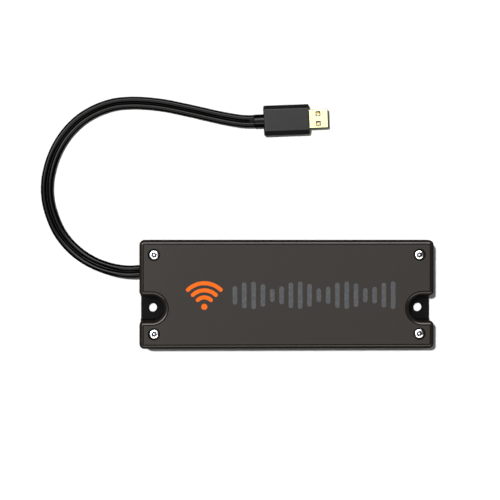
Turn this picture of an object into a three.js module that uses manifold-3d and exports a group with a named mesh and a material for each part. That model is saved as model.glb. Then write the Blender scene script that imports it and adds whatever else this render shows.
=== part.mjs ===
// USB radio adapter for a solar microinverter system: a flat two-piece plastic box with a
// screw-down lug in a D-shaped recess at each short end, and a short twin lead that ends in a
// USB-A plug. Millimetres, +Z up. The origin is on the underside, at the middle of the box.
// +X runs along the box, away from the lead. +Y points to the side that the lead loops round to.
import * as THREE from 'three';
import { mergeVertices } from 'three/addons/utils/BufferGeometryUtils.js';
import Module from 'manifold-3d';

const wasm = await Module();
wasm.setup();

// ---- Driving dimensions ------------------------------------------------------------------

const GAP = 0.3; // clearance between pieces that are cut round each other
const REST = 0.1; // clearance between faces that rest on each other

const LENGTH = 184;
const WIDTH = 68;
const HEIGHT = 21;
const CORNER = 3.2; // radius of the box's upright corners
const MOUTH_CORNER = 2.8; // radius of the upright corners where the recesses open
const WALL = 2.4;
const FLOOR = 2.2;
const ROOF = 2.4;
const PARTING = 9.5; // height of the joint between the two shells
const BASE_DRAFT = 0.4; // how far the base's walls lean in on their way down
const BASE_EDGE = 1; // radius of the edge round the underside
const COVER_DRAFT = 0.2; // how far the cover's walls lean in on their way up
const COVER_EDGE = 2.4; // radius of the edge round the top
const LIP_INSET = 1.3; // the cover's lip runs inside the base's wall from here inwards
const LIP_DEPTH = 1.4;

const NOTCH_Y = -8.7;
const NOTCH_ARC_X = 84.2; // centre of the recess's round inner end
const NOTCH_RADIUS = 7.7; // at the parting line
const NOTCH_TAPER = 0.4; // how much narrower the recess is at the lug
const LUG_TOP = 3;
const LUG_SETBACK = 0.4;
const LUG_HOLE_RADIUS = 2.75;

const COVER_SCREW_X = 82.7;
const COVER_SCREW_Y = 24.6;
const COUNTERBORE_RADIUS = 3.7;
const COUNTERBORE_DEPTH = 3.2;
const COVER_BOSS_RADIUS = 4.6;
const BASE_BOSS_RADIUS = 4.2;
const INSERT_RADIUS = 2.2;
const INSERT_LENGTH = 5.7;
const M3 = { head: 2.75, headHeight: 2.2, shank: 1.45, length: 13, socket: 1.5, clearance: 1.75 };
const M25 = { head: 2.25, headHeight: 1.7, shank: 1.1, length: 6.5, socket: 1.1, clearance: 1.4 };

const BOARD = { x0: -64, x1: 72, y: 29, bottom: 6, thickness: 1.6 };
const BOARD_TOP = BOARD.bottom + BOARD.thickness;
const BOARD_SCREWS = [[-60, -25], [-60, 25], [68, -25], [68, 25]];
const STANDOFF_RADIUS = 3.2;

const CORD_STRAND = 3.8; // diameter of each of the two leads that are bonded side by side
const CORD_WIDTH = 7.7;
const CORD_Y = 14.3;
const CORD_Z = PARTING;
const CORD_INNER_END = -69;
const CORD_STEPS = 54;
const CLAMP = { x: -73.5, length: 6, width: 21, screwOffset: 7.5, height: 6 };
const WIRE_RADIUS = 0.6;
const CABLE_SOCKET = { x0: -56, x1: -48, halfWidth: 6.6, height: 6 };

const PLUG_TURN = THREE.MathUtils.degToRad(2.3); // the plug lies slightly off the X direction
const PLUG_START = new THREE.Vector3(-20.2, 109, 4);
const RELIEF = { length: 6.4, width: 8.2, height: 6.4 };
const OVERMOLD = { length: 28.7, width: 18.9, height: 8, flat: 13.5, side: 3.4, endEdge: 0.5 };
const SHELL = { length: 12, buried: 6, width: 12, height: 4.5, wall: 0.3 };
const WINDOW = { size: 2.4, offset: 3.1, fromMouth: 6.4 };
const CONTACT_OFFSETS = [-3.5, -1, 1, 3.5];

// The lead's course, laid by hand: out of the clamp and the case wall, down to the surface, round
// in a half circle, and along to the plug. Its last point is where the strain relief begins.
const CORD_ROUTE = [
  [CORD_INNER_END, CORD_Y, CORD_Z],
  [-76, CORD_Y, CORD_Z],
  [-84, CORD_Y, CORD_Z],
  [-92, CORD_Y, CORD_Z],
  [-99, 14, 9.2],
  [-107, 14.9, 8],
  [-115, 17, 6],
  [-123, 20.3, 3.9],
  [-130.5, 25, 2.5],
  [-137.5, 31.4, 2],
  [-143.4, 39.5, 2],
  [-147.6, 49, 2],
  [-150.2, 59, 2],
  [-150.6, 69.5, 2],
  [-148.6, 80.5, 2],
  [-144.5, 91.2, 2],
  [-138, 101.4, 2],
  [-129.2, 110, 2],
  [-119, 116, 2],
  [-108, 119.6, 2],
  [-97, 120.6, 2],
  [-86.8, 120.2, 2],
  [-76.7, 119, 2],
  [-66.5, 117, 2.1],
  [-56.4, 114.8, 2.3],
  [-46.3, 112.5, 2.7],
  [-36.1, 110.4, 3.3],
  [-27, 109.1, 3.8],
  [-20.2 - GAP, 109, 4],
];

// ---- Materials ---------------------------------------------------------------------------

function plain(color, roughness, metalness = 0) {
  return new THREE.MeshStandardMaterial({ color, roughness, metalness });
}

const coverBlack = plain(0x45413d, 0.55);
const baseBlack = plain(0x1a1b1c, 0.6);
const jacketBlack = plain(0x0c0c0c, 0.4);
const overmoldBlack = plain(0x2b2b2b, 0.5);
const screwSteel = plain(0xd8d8dc, 0.25, 1);
const zincSteel = plain(0xb9bcc0, 0.35, 1);
const insertBrass = plain(0xb58a3c, 0.35, 1);
const shellPlating = plain(0xefe6a8, 0.25, 1);
const contactGold = plain(0xd9a520, 0.25, 1);
const boardGreen = plain(0x0f4a2c, 0.5);
const moduleBlue = plain(0x123a6b, 0.5);
const chipBlack = plain(0x141414, 0.6);
const nylonWhite = plain(0xe4e0d2, 0.55);
const inductorGrey = plain(0x3a3a3c, 0.7);
const canAluminium = plain(0xc9ccd0, 0.3, 1);
const antennaBronze = plain(0xb87333, 0.3, 1);

// ---- Shape helpers -----------------------------------------------------------------------

function arc(cx, cy, radius, fromDegrees, toDegrees, steps) {
  const points = [];
  for (let i = 0; i <= steps; i += 1) {
    const angle = THREE.MathUtils.degToRad(fromDegrees + ((toDegrees - fromDegrees) * i) / steps);
    points.push(new THREE.Vector2(cx + radius * Math.cos(angle), cy + radius * Math.sin(angle)));
  }
  return points;
}

function roundedRectangle(x0, x1, y0, y1, radius, steps = 4) {
  return [
    ...arc(x1 - radius, y0 + radius, radius, -90, 0, steps),
    ...arc(x1 - radius, y1 - radius, radius, 0, 90, steps),
    ...arc(x0 + radius, y1 - radius, radius, 90, 180, steps),
    ...arc(x0 + radius, y0 + radius, radius, 180, 270, steps),
  ];
}

// The plan of the box with its two recesses, drawn `inset` inside the box's full size. The
// recesses grow by `notchInset`, and every corner keeps the same centre as the inset changes.
function caseOutline(inset, notchInset = inset) {
  const notchRadius = NOTCH_RADIUS + notchInset;
  const corner = CORNER - inset;
  const mouth = MOUTH_CORNER - inset;
  const x = LENGTH / 2 - CORNER;
  const y = WIDTH / 2 - CORNER;
  const mouthX = LENGTH / 2 - MOUTH_CORNER;
  const mouthOffset = notchRadius + mouth;
  return [
    ...arc(x, -y, corner, -90, 0, 3),
    ...arc(mouthX, NOTCH_Y - mouthOffset, mouth, 0, 90, 3),
    ...arc(NOTCH_ARC_X, NOTCH_Y, notchRadius, 270, 90, 12),
    ...arc(mouthX, NOTCH_Y + mouthOffset, mouth, -90, 0, 3),
    ...arc(x, y, corner, 0, 90, 3),
    ...arc(-x, y, corner, 90, 180, 3),
    ...arc(-mouthX, NOTCH_Y + mouthOffset, mouth, 180, 270, 3),
    ...arc(-NOTCH_ARC_X, NOTCH_Y, notchRadius, 90, -90, 12),
    ...arc(-mouthX, NOTCH_Y - mouthOffset, mouth, 90, 180, 3),
    ...arc(-x, -y, corner, 180, 270, 3),
  ];
}

// A closed solid through a stack of outlines that all have the same number of points.
function stack(levels) {
  const count = levels[0].points.length;
  const positions = [];
  const index = [];
  for (const level of levels) {
    for (const point of level.points) {
      positions.push(point.x, point.y, level.z);
    }
  }
  for (let k = 0; k + 1 < levels.length; k += 1) {
    for (let i = 0; i < count; i += 1) {
      const j = (i + 1) % count;
      const lower = k * count;
      const upper = lower + count;
      index.push(lower + i, lower + j, upper + j);
      index.push(lower + i, upper + j, upper + i);
    }
  }
  const bottomFaces = THREE.ShapeUtils.triangulateShape(levels[0].points, []);
  for (const [a, b, c] of bottomFaces) {
    index.push(a, c, b);
  }
  const top = (levels.length - 1) * count;
  const topFaces = THREE.ShapeUtils.triangulateShape(levels[levels.length - 1].points, []);
  for (const [a, b, c] of topFaces) {
    index.push(top + a, top + b, top + c);
  }
  const geometry = new THREE.BufferGeometry();
  geometry.setAttribute('position', new THREE.Float32BufferAttribute(positions, 3));
  geometry.setIndex(index);
  return geometry;
}

function prism(points, z0, z1) {
  return stack([{ z: z0, points }, { z: z1, points }]);
}

function block(x0, x1, y0, y1, z0, z1) {
  const geometry = new THREE.BoxGeometry(x1 - x0, y1 - y0, z1 - z0);
  return geometry.translate((x0 + x1) / 2, (y0 + y1) / 2, (z0 + z1) / 2);
}

function post(x, y, radius, z0, z1, sides = 16) {
  return prism(arc(x, y, radius, 0, 360 - 360 / sides, sides - 1), z0, z1);
}

// Turns a solid that was drawn in plan so that its height runs along +X and its plan X along +Y.
function layAlongX(geometry) {
  const basis = new THREE.Matrix4().makeBasis(
    new THREE.Vector3(0, 1, 0),
    new THREE.Vector3(0, 0, 1),
    new THREE.Vector3(1, 0, 0),
  );
  return geometry.applyMatrix4(basis);
}

function toSolid(geometry) {
  const bare = geometry.clone();
  bare.deleteAttribute('normal');
  bare.deleteAttribute('uv');
  const merged = mergeVertices(bare);
  const mesh = new wasm.Mesh({
    numProp: 3,
    vertProperties: merged.attributes.position.array,
    triVerts: new Uint32Array(merged.index.array),
  });
  return new wasm.Manifold(mesh);
}

function toGeometry(solid) {
  const mesh = solid.getMesh();
  const geometry = new THREE.BufferGeometry();
  geometry.setAttribute('position', new THREE.BufferAttribute(mesh.vertProperties, 3));
  geometry.setIndex(new THREE.BufferAttribute(mesh.triVerts, 1));
  return geometry;
}

// Joins every solid of `added` and then cuts away every solid of `removed`.
function carve(added, removed) {
  let solid = toSolid(added[0]);
  for (const geometry of added.slice(1)) {
    solid = solid.add(toSolid(geometry));
  }
  for (const geometry of removed) {
    solid = solid.subtract(toSolid(geometry));
  }
  return toGeometry(solid);
}

function place(parent, name, geometry, material) {
  const shaded = geometry.index ? geometry.toNonIndexed() : geometry;
  shaded.computeVertexNormals();
  const mesh = new THREE.Mesh(shaded, material);
  mesh.name = name;
  parent.add(mesh);
  return mesh;
}

function forEachCorner(x, y, visit) {
  const corners = [[-x, y], [x, y], [-x, -y], [x, -y]];
  corners.forEach(([cornerX, cornerY], i) => visit(cornerX, cornerY, i + 1));
}

// ---- The case ----------------------------------------------------------------------------

// The slot through the end wall that the flat twin lead passes through, as a solid along X.
function cordSlot(x0, x1) {
  const halfWidth = CORD_WIDTH / 2 + GAP;
  const radius = CORD_STRAND / 2 + GAP;
  const points = roundedRectangle(-halfWidth, halfWidth, -radius, radius, radius - 0.01, 4);
  return layAlongX(prism(points, x0, x1)).translate(0, CORD_Y, CORD_Z);
}

// The base's outer form: a plain sole, with the recessed walls standing on it.
function baseBody() {
  const plainOutline = (inset) => {
    const x = LENGTH / 2 - inset;
    const y = WIDTH / 2 - inset;
    return roundedRectangle(-x, x, -y, y, CORNER - inset);
  };
  const sole = stack([
    { z: 0, points: plainOutline(BASE_DRAFT + BASE_EDGE) },
    { z: BASE_EDGE * 0.3, points: plainOutline(BASE_DRAFT + BASE_EDGE * 0.3) },
    { z: BASE_EDGE, points: plainOutline(BASE_DRAFT) },
    { z: LUG_TOP, points: plainOutline(BASE_DRAFT * 0.75) },
  ]);
  const walls = stack([
    { z: LUG_TOP - 0.5, points: caseOutline(BASE_DRAFT * 0.8, -NOTCH_TAPER) },
    { z: PARTING, points: caseOutline(0) },
  ]);
  return [sole, walls];
}

// What is cut from the base: its inside, the rebate for the cover's lip, the lead's slot, the
// lugs' set-back edges and the lugs' holes.
function baseCuts() {
  const cuts = [
    prism(caseOutline(WALL), FLOOR, PARTING + 1),
    prism(caseOutline(LIP_INSET - GAP), PARTING - LIP_DEPTH - GAP, PARTING + 1),
    cordSlot(-LENGTH / 2 - 1, -LENGTH / 2 + WALL + 1),
  ];
  const notchHalf = NOTCH_RADIUS - NOTCH_TAPER;
  const lugEdge = LENGTH / 2 - LUG_SETBACK - BASE_DRAFT / 2;
  const beyond = LENGTH / 2 + 1;
  for (const side of [-1, 1]) {
    const x0 = Math.min(side * lugEdge, side * beyond);
    const x1 = Math.max(side * lugEdge, side * beyond);
    cuts.push(block(x0, x1, NOTCH_Y - notchHalf, NOTCH_Y + notchHalf, -1, LUG_TOP + 1));
    cuts.push(post(side * NOTCH_ARC_X, NOTCH_Y, LUG_HOLE_RADIUS, -1, LUG_TOP + 1, 20));
  }
  return cuts;
}

function bottomCaseShape() {
  const fittings = [];
  const holes = [];
  const ribHalf = 0.8;
  const ribTop = PARTING - LIP_DEPTH - 2 * GAP;
  forEachCorner(COVER_SCREW_X, COVER_SCREW_Y, (x, y) => {
    const wallX = Math.sign(x) * (LENGTH / 2 - WALL / 2);
    const wallY = Math.sign(y) * (WIDTH / 2 - WALL / 2);
    const [x0, x1] = [Math.min(x, wallX), Math.max(x, wallX)];
    const [y0, y1] = [Math.min(y, wallY), Math.max(y, wallY)];
    fittings.push(post(x, y, BASE_BOSS_RADIUS, FLOOR - 1, PARTING - GAP));
    fittings.push(block(x0, x1, y - ribHalf, y + ribHalf, FLOOR - 1, ribTop));
    fittings.push(block(x - ribHalf, x + ribHalf, y0, y1, FLOOR - 1, ribTop));
    holes.push(post(x, y, INSERT_RADIUS + GAP, FLOOR + 0.4, PARTING + 1, 12));
  });
  for (const [x, y] of BOARD_SCREWS) {
    fittings.push(post(x, y, STANDOFF_RADIUS, FLOOR - 1, BOARD.bottom - REST, 12));
    holes.push(post(x, y, M25.clearance, 1, BOARD.bottom + 1, 8));
  }
  fittings.push(block(
    CLAMP.x - CLAMP.length / 2 - 0.5,
    CLAMP.x + CLAMP.length / 2 + 0.5,
    CORD_Y - CLAMP.width / 2,
    CORD_Y + CLAMP.width / 2,
    FLOOR - 1,
    CORD_Z - CORD_STRAND / 2 - GAP,
  ));
  for (const side of [-1, 1]) {
    holes.push(post(CLAMP.x, CORD_Y + side * CLAMP.screwOffset, M25.clearance, 1.5, PARTING, 8));
  }
  return carve([carve(baseBody(), baseCuts()), ...fittings], holes);
}

function topCoverShape() {
  const skirt = PARTING + REST;
  const edgeStart = HEIGHT - COVER_EDGE;
  const levels = [{ z: skirt, points: caseOutline(0) }];
  const edgeSteps = 4;
  for (let i = 0; i <= edgeSteps; i += 1) {
    const angle = (Math.PI / 2) * (i / edgeSteps);
    const inset = COVER_DRAFT + COVER_EDGE * (1 - Math.cos(angle));
    levels.push({ z: edgeStart + COVER_EDGE * Math.sin(angle), points: caseOutline(inset) });
  }
  const lip = prism(caseOutline(LIP_INSET), PARTING - LIP_DEPTH, skirt + 1);
  const shell = carve([stack(levels), lip], [
    prism(caseOutline(WALL), 0, HEIGHT - ROOF),
    cordSlot(-LENGTH / 2 - 1, -LENGTH / 2 + WALL + 1),
  ]);
  const added = [shell];
  const removed = [];
  const roof = HEIGHT - ROOF + 1;
  forEachCorner(COVER_SCREW_X, COVER_SCREW_Y, (x, y) => {
    const seat = HEIGHT - COUNTERBORE_DEPTH;
    added.push(post(x, y, COVER_BOSS_RADIUS, skirt, roof));
    removed.push(post(x, y, COUNTERBORE_RADIUS, seat, HEIGHT + 1, 20));
    removed.push(post(x, y, M3.clearance, 0, HEIGHT, 12));
  });
  const ribDepth = 1.5;
  const ribHalf = 0.8;
  const ribBottom = HEIGHT - ROOF - ribDepth;
  for (const y of [-14, 14]) {
    added.push(block(-70, 70, y - ribHalf, y + ribHalf, ribBottom, roof));
  }
  for (const x of [-56, 0, 56]) {
    const reach = WIDTH / 2 - WALL / 2 - COVER_DRAFT;
    added.push(block(x - ribHalf, x + ribHalf, -reach, reach, ribBottom, roof));
  }
  return carve(added, removed);
}

// ---- Fasteners ---------------------------------------------------------------------------

function sixLobe(radius) {
  const points = [];
  const lobes = 6;
  const pointsPerLobe = 3;
  for (let i = 0; i < lobes * pointsPerLobe; i += 1) {
    const angle = (i / (lobes * pointsPerLobe)) * Math.PI * 2;
    const reach = radius * (0.88 + 0.12 * Math.cos(lobes * angle));
    points.push(new THREE.Vector2(reach * Math.cos(angle), reach * Math.sin(angle)));
  }
  return points;
}

// A pan head screw with a six-lobe socket. The underside of its head is at z = 0.
function screwShape(size, sides) {
  const crown = size.headHeight;
  const profile = [
    new THREE.Vector2(0, -size.length),
    new THREE.Vector2(size.shank * 0.7, -size.length),
    new THREE.Vector2(size.shank, -size.length + size.shank * 0.6),
    new THREE.Vector2(size.shank, 0),
    new THREE.Vector2(size.head, 0),
    new THREE.Vector2(size.head, crown * 0.45),
    new THREE.Vector2(size.head * 0.86, crown * 0.85),
    new THREE.Vector2(size.head * 0.6, crown),
    new THREE.Vector2(0, crown),
  ];
  const body = new THREE.LatheGeometry(profile, sides).rotateX(Math.PI / 2);
  const socket = prism(sixLobe(size.socket), crown * 0.4, crown + 1);
  return carve([body], [socket]);
}

function insertShape() {
  const ring = post(0, 0, INSERT_RADIUS, 0, INSERT_LENGTH, 12);
  const bore = post(0, 0, M3.shank + 0.25, -1, INSERT_LENGTH + 1, 12);
  return carve([ring], [bore]);
}

// ---- Inside the case ---------------------------------------------------------------------

function mainBoardShape() {
  const outline = roundedRectangle(BOARD.x0, BOARD.x1, -BOARD.y, BOARD.y, 1.5, 3);
  const holes = BOARD_SCREWS.map(([x, y]) => post(x, y, M25.clearance, 0, 20, 12));
  return carve([prism(outline, BOARD.bottom, BOARD_TOP)], holes);
}

function cordClampShape() {
  const bottom = CORD_Z - CORD_STRAND / 2 - GAP + REST;
  const half = CLAMP.length / 2;
  const outline = roundedRectangle(-CLAMP.width / 2, CLAMP.width / 2, bottom, bottom + CLAMP.height, 1, 2);
  const bar = layAlongX(prism(outline, CLAMP.x - half, CLAMP.x + half)).translate(0, CORD_Y, 0);
  const removed = [
    cordSlot(CLAMP.x - half - 1, CLAMP.x + half + 1),
    block(
      CLAMP.x - half - 1,
      CLAMP.x + half + 1,
      CORD_Y - CORD_WIDTH / 2 - GAP,
      CORD_Y + CORD_WIDTH / 2 + GAP,
      0,
      CORD_Z,
    ),
  ];
  for (const side of [-1, 1]) {
    removed.push(post(CLAMP.x, CORD_Y + side * CLAMP.screwOffset, M25.clearance, 0, 20, 12));
  }
  return carve([bar], removed);
}

function shieldCanShape(x0, x1, y0, y1, z0, height) {
  const sheet = 0.4;
  const outside = prism(roundedRectangle(x0, x1, y0, y1, 1, 2), z0, z0 + height);
  const inside = block(x0 + sheet, x1 - sheet, y0 + sheet, y1 - sheet, z0 - 1, z0 + height - sheet);
  return carve([outside], [inside]);
}

// A spring aerial lying along X, with one end bent down to the board.
class SpringAerial extends THREE.Curve {
  constructor(start, turns, pitch, radius) {
    super();
    this.start = start;
    this.turns = turns;
    this.pitch = pitch;
    this.radius = radius;
  }

  getPoint(t, target = new THREE.Vector3()) {
    const legShare = 0.06;
    const { start, turns, pitch, radius } = this;
    if (t < legShare) {
      const rise = t / legShare;
      return target.set(start.x, start.y, start.z - radius - 2 + 2 * rise);
    }
    const along = (t - legShare) / (1 - legShare);
    const angle = along * turns * Math.PI * 2;
    return target.set(
      start.x + along * turns * pitch,
      start.y + radius * Math.sin(angle),
      start.z - radius * Math.cos(angle),
    );
  }
}

function regularSection(radius, sides) {
  return new THREE.Shape(arc(0, 0, radius, 0, 360 - 360 / sides, sides - 1));
}

function tube(curve, section, steps) {
  return new THREE.ExtrudeGeometry(section, { steps, bevelEnabled: false, extrudePath: curve });
}

function wireCurve(cordY, plugY) {
  const plugX = CABLE_SOCKET.x0 - GAP;
  const plugZ = BOARD_TOP + CABLE_SOCKET.height / 2;
  return new THREE.CatmullRomCurve3([
    new THREE.Vector3(CORD_INNER_END + GAP, cordY, CORD_Z),
    new THREE.Vector3(CORD_INNER_END + 2.5, cordY, CORD_Z + 0.3),
    new THREE.Vector3((CORD_INNER_END + plugX) / 2, (cordY + plugY) / 2, CORD_Z + 1.6),
    new THREE.Vector3(plugX - 2.5, plugY, plugZ + 0.3),
    new THREE.Vector3(plugX, plugY, plugZ),
  ], false, 'centripetal');
}

function cableSocketShape() {
  const { x0, x1, halfWidth, height } = CABLE_SOCKET;
  const body = block(
    x0 + 1.5,
    x1,
    CORD_Y - halfWidth,
    CORD_Y + halfWidth,
    BOARD_TOP + REST,
    BOARD_TOP + height,
  );
  const mouth = block(
    x0,
    x1 - 1.2,
    CORD_Y - halfWidth + 0.9,
    CORD_Y + halfWidth - 0.9,
    BOARD_TOP + 0.9,
    BOARD_TOP + height - 0.9,
  );
  return carve([body], [mouth]);
}

function cablePlugShape() {
  const { x0, x1, halfWidth, height } = CABLE_SOCKET;
  const edge = 0.9 + GAP;
  return block(
    x0,
    x1 - 1.2 - GAP,
    CORD_Y - halfWidth + edge,
    CORD_Y + halfWidth - edge,
    BOARD_TOP + edge,
    BOARD_TOP + height - edge,
  );
}

// ---- The lead and its plug ---------------------------------------------------------------

// The lead lies flat, so its two strands stay level with each other all along its course.
class LevelCurve extends THREE.CatmullRomCurve3 {
  computeFrenetFrames(steps) {
    const up = new THREE.Vector3(0, 0, 1);
    const frames = { tangents: [], normals: [], binormals: [] };
    for (let i = 0; i <= steps; i += 1) {
      const tangent = this.getTangentAt(i / steps);
      const sideways = new THREE.Vector3().crossVectors(up, tangent).normalize();
      const upright = new THREE.Vector3().crossVectors(tangent, sideways);
      frames.tangents.push(tangent);
      frames.normals.push(sideways);
      frames.binormals.push(upright);
    }
    return frames;
  }
}

function twinCordShape() {
  const route = CORD_ROUTE.map(([x, y, z]) => new THREE.Vector3(x, y, z));
  const half = CORD_WIDTH / 2;
  const strand = CORD_STRAND / 2;
  const outline = [
    ...arc(half - strand, 0, strand, -90, 90, 4),
    ...arc(strand - half, 0, strand, 90, 270, 4),
  ];
  const curve = new LevelCurve(route, false, 'centripetal');
  return tube(curve, new THREE.Shape(outline), CORD_STEPS);
}

function reliefShape() {
  const { length, width, height } = RELIEF;
  const section = (share) => {
    const w = (width / 2) * share;
    const h = (height / 2) * share;
    return roundedRectangle(-w, w, -h, h, h * 0.95, 4);
  };
  const end = length - GAP;
  return layAlongX(stack([
    { z: 0, points: section(0.94) },
    { z: 0.5, points: section(1) },
    { z: end, points: section(1) },
  ]));
}

function overmoldSection(inset) {
  const { width, height, flat, side } = OVERMOLD;
  const x = width / 2 - inset;
  const y = height / 2 - inset;
  const flatX = flat / 2 - inset * 0.5;
  const sideY = side / 2;
  const quarter = [[x, sideY], [(x + flatX) / 2 + 0.5, (y + sideY) / 2 + 0.5], [flatX, y]];
  const corners = [
    ...quarter,
    ...quarter.map(([px, py]) => [-px, py]).reverse(),
    ...quarter.map(([px, py]) => [-px, -py]),
    ...quarter.map(([px, py]) => [px, -py]).reverse(),
  ];
  return corners.map(([px, py]) => new THREE.Vector2(px, py));
}

function overmoldShape() {
  const { length, endEdge } = OVERMOLD;
  const start = RELIEF.length;
  const end = start + length;
  const body = layAlongX(stack([
    { z: start, points: overmoldSection(endEdge) },
    { z: start + endEdge, points: overmoldSection(0) },
    { z: end - endEdge, points: overmoldSection(0) },
    { z: end, points: overmoldSection(endEdge) },
  ]));
  const pocket = block(
    end - SHELL.buried - GAP,
    end + 1,
    -SHELL.width / 2 - GAP,
    SHELL.width / 2 + GAP,
    -SHELL.height / 2 - GAP,
    SHELL.height / 2 + GAP,
  );
  return carve([body], [pocket]);
}

function usbShellShape() {
  const start = RELIEF.length + OVERMOLD.length - SHELL.buried;
  const mouth = RELIEF.length + OVERMOLD.length + SHELL.length;
  const x = SHELL.width / 2;
  const y = SHELL.height / 2;
  const outside = layAlongX(prism(roundedRectangle(-x, x, -y, y, 0.6, 2), start, mouth));
  const inside = block(
    start - 1,
    mouth + 1,
    -x + SHELL.wall,
    x - SHELL.wall,
    -y + SHELL.wall,
    y - SHELL.wall,
  );
  const windowX = mouth - WINDOW.fromMouth;
  const half = WINDOW.size / 2;
  const windows = [-1, 1].map((side) => block(
    windowX - half,
    windowX + half,
    side * WINDOW.offset - half,
    side * WINDOW.offset + half,
    -SHELL.height,
    SHELL.height,
  ));
  return carve([outside], [inside, ...windows]);
}

const TONGUE = { thickness: 1.84, mouthGap: 0.8, heel: 3.5 };

function usbTongueShape() {
  const start = RELIEF.length + OVERMOLD.length - SHELL.buried + REST;
  const mouth = RELIEF.length + OVERMOLD.length + SHELL.length;
  const side = SHELL.width / 2 - SHELL.wall - REST;
  const bottom = -SHELL.height / 2 + SHELL.wall + REST;
  const top = SHELL.height / 2 - SHELL.wall - REST;
  const blade = block(start, mouth - TONGUE.mouthGap, -side, side, bottom, bottom + TONGUE.thickness);
  const heel = block(start, start + TONGUE.heel, -side, side, bottom, top);
  return carve([blade, heel], []);
}

function usbContactShape(offset) {
  const mouth = RELIEF.length + OVERMOLD.length + SHELL.length;
  const bottom = -SHELL.height / 2 + SHELL.wall + REST + TONGUE.thickness;
  const halfWidth = 0.5;
  const metal = 0.3;
  return block(
    mouth - 9.5,
    mouth - 1.8,
    offset - halfWidth,
    offset + halfWidth,
    bottom + 0.02,
    bottom + metal,
  );
}

// ---- Assembly ----------------------------------------------------------------------------

const adapter = new THREE.Group();

place(adapter, 'bottom_case', bottomCaseShape(), baseBlack);

const cover = new THREE.Group();
adapter.add(cover);
place(cover, 'top_cover', topCoverShape(), coverBlack);

forEachCorner(COVER_SCREW_X, COVER_SCREW_Y, (x, y, number) => {
  const screw = place(cover, `cover_screw_${number}`, screwShape(M3, 14), screwSteel);
  screw.position.set(x, y, HEIGHT - COUNTERBORE_DEPTH + REST);
  const insert = place(adapter, `threaded_insert_${number}`, insertShape(), insertBrass);
  insert.position.set(x, y, PARTING - GAP - INSERT_LENGTH);
});

const electronics = new THREE.Group();
adapter.add(electronics);
place(electronics, 'main_board', mainBoardShape(), boardGreen);
BOARD_SCREWS.forEach(([x, y], i) => {
  const screw = place(electronics, `board_screw_${i + 1}`, screwShape(M25, 10), zincSteel);
  screw.position.set(x, y, BOARD_TOP + REST);
});

place(electronics, 'cord_clamp', cordClampShape(), chipBlack);
[-1, 1].forEach((side, i) => {
  const screw = place(electronics, `clamp_screw_${i + 1}`, screwShape(M25, 10), zincSteel);
  const clampTop = CORD_Z - CORD_STRAND / 2 - GAP + REST + CLAMP.height;
  screw.position.set(CLAMP.x, CORD_Y + side * CLAMP.screwOffset, clampTop + REST);
});

place(electronics, 'cable_socket', cableSocketShape(), nylonWhite);
place(electronics, 'cable_plug', cablePlugShape(), nylonWhite);
const wires = [
  { name: 'power_wire', color: 0xb01818, cordY: -2.6, plugY: -3.75 },
  { name: 'data_minus_wire', color: 0xe8e8e4, cordY: -1.2, plugY: -1.25 },
  { name: 'data_plus_wire', color: 0x1f8a3a, cordY: 1.2, plugY: 1.25 },
  { name: 'ground_wire', color: 0x101010, cordY: 2.6, plugY: 3.75 },
];
for (const { name, color, cordY, plugY } of wires) {
  const curve = wireCurve(CORD_Y + cordY, CORD_Y + plugY);
  place(electronics, name, tube(curve, regularSection(WIRE_RADIUS, 6), 10), plain(color, 0.5));
}

// A rectangular piece of the electronics that stands on the board at height z0.
function onBoard(name, material, x0, x1, y0, y1, height, z0 = BOARD_TOP) {
  const geometry = prism(roundedRectangle(x0, x1, y0, y1, 0.3, 1), z0 + REST, z0 + height);
  return place(electronics, name, geometry, material);
}

onBoard('usb_hub_chip', chipBlack, -34, -27, 10.5, 17.5, 1.1);
onBoard('microcontroller_chip', chipBlack, 4, 14, 6, 16, 1.3);
onBoard('voltage_regulator', chipBlack, -49.5, -43, -5, -1.3, 1.8);
onBoard('power_inductor', inductorGrey, -34, -26.5, -0.5, 7, 4.2);
place(
  electronics,
  'crystal',
  prism(roundedRectangle(-23, -12.5, 20, 24.2, 2, 4), BOARD_TOP + REST, BOARD_TOP + 3.4),
  canAluminium,
);
place(
  electronics,
  'reservoir_capacitor',
  post(-42, 12, 3.15, BOARD_TOP + REST, BOARD_TOP + 7.7),
  canAluminium,
);

const MODULE_THICKNESS = 1;
const MODULE_TOP = BOARD_TOP + REST + MODULE_THICKNESS;
const CAN_HEIGHT = 2.6;
onBoard('long_range_radio_board', moduleBlue, -36, -6, -26, -4, MODULE_THICKNESS + REST);
place(
  electronics,
  'long_range_shield_can',
  shieldCanShape(-31, -11, -24, -8, MODULE_TOP + REST, CAN_HEIGHT),
  canAluminium,
);
onBoard('mesh_radio_board', moduleBlue, 20, 48, -24, -4, MODULE_THICKNESS + REST);
place(
  electronics,
  'mesh_shield_can',
  shieldCanShape(24, 40, -21, -7, MODULE_TOP + REST, CAN_HEIGHT),
  canAluminium,
);
const springStart = new THREE.Vector3(-58, -14, BOARD_TOP + 5.8);
place(
  electronics,
  'spring_antenna',
  tube(new SpringAerial(springStart, 6, 2.6, 2.8), regularSection(0.5, 5), 72),
  antennaBronze,
);

function stampedAntennaShape() {
  const metal = 0.4;
  const top = BOARD_TOP + 6;
  return carve([
    block(52, 68, -14, -11, top - metal, top),
    block(52, 52 + metal, -14, -11, BOARD_TOP + REST, top),
    block(56, 58, -11 - metal, -11, BOARD_TOP + REST, top),
  ], []);
}
place(electronics, 'stamped_antenna', stampedAntennaShape(), antennaBronze);

place(adapter, 'twin_cord', twinCordShape(), jacketBlack);

const plug = new THREE.Group();
plug.position.copy(PLUG_START);
plug.rotation.z = PLUG_TURN;
adapter.add(plug);
place(plug, 'strain_relief', reliefShape(), jacketBlack);
place(plug, 'plug_overmold', overmoldShape(), overmoldBlack);
place(plug, 'usb_shell', usbShellShape(), shellPlating);
place(plug, 'usb_tongue', usbTongueShape(), nylonWhite);
CONTACT_OFFSETS.forEach((offset, i) => {
  place(plug, `usb_contact_${i + 1}`, usbContactShape(offset), contactGold);
});

export default adapter;
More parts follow.
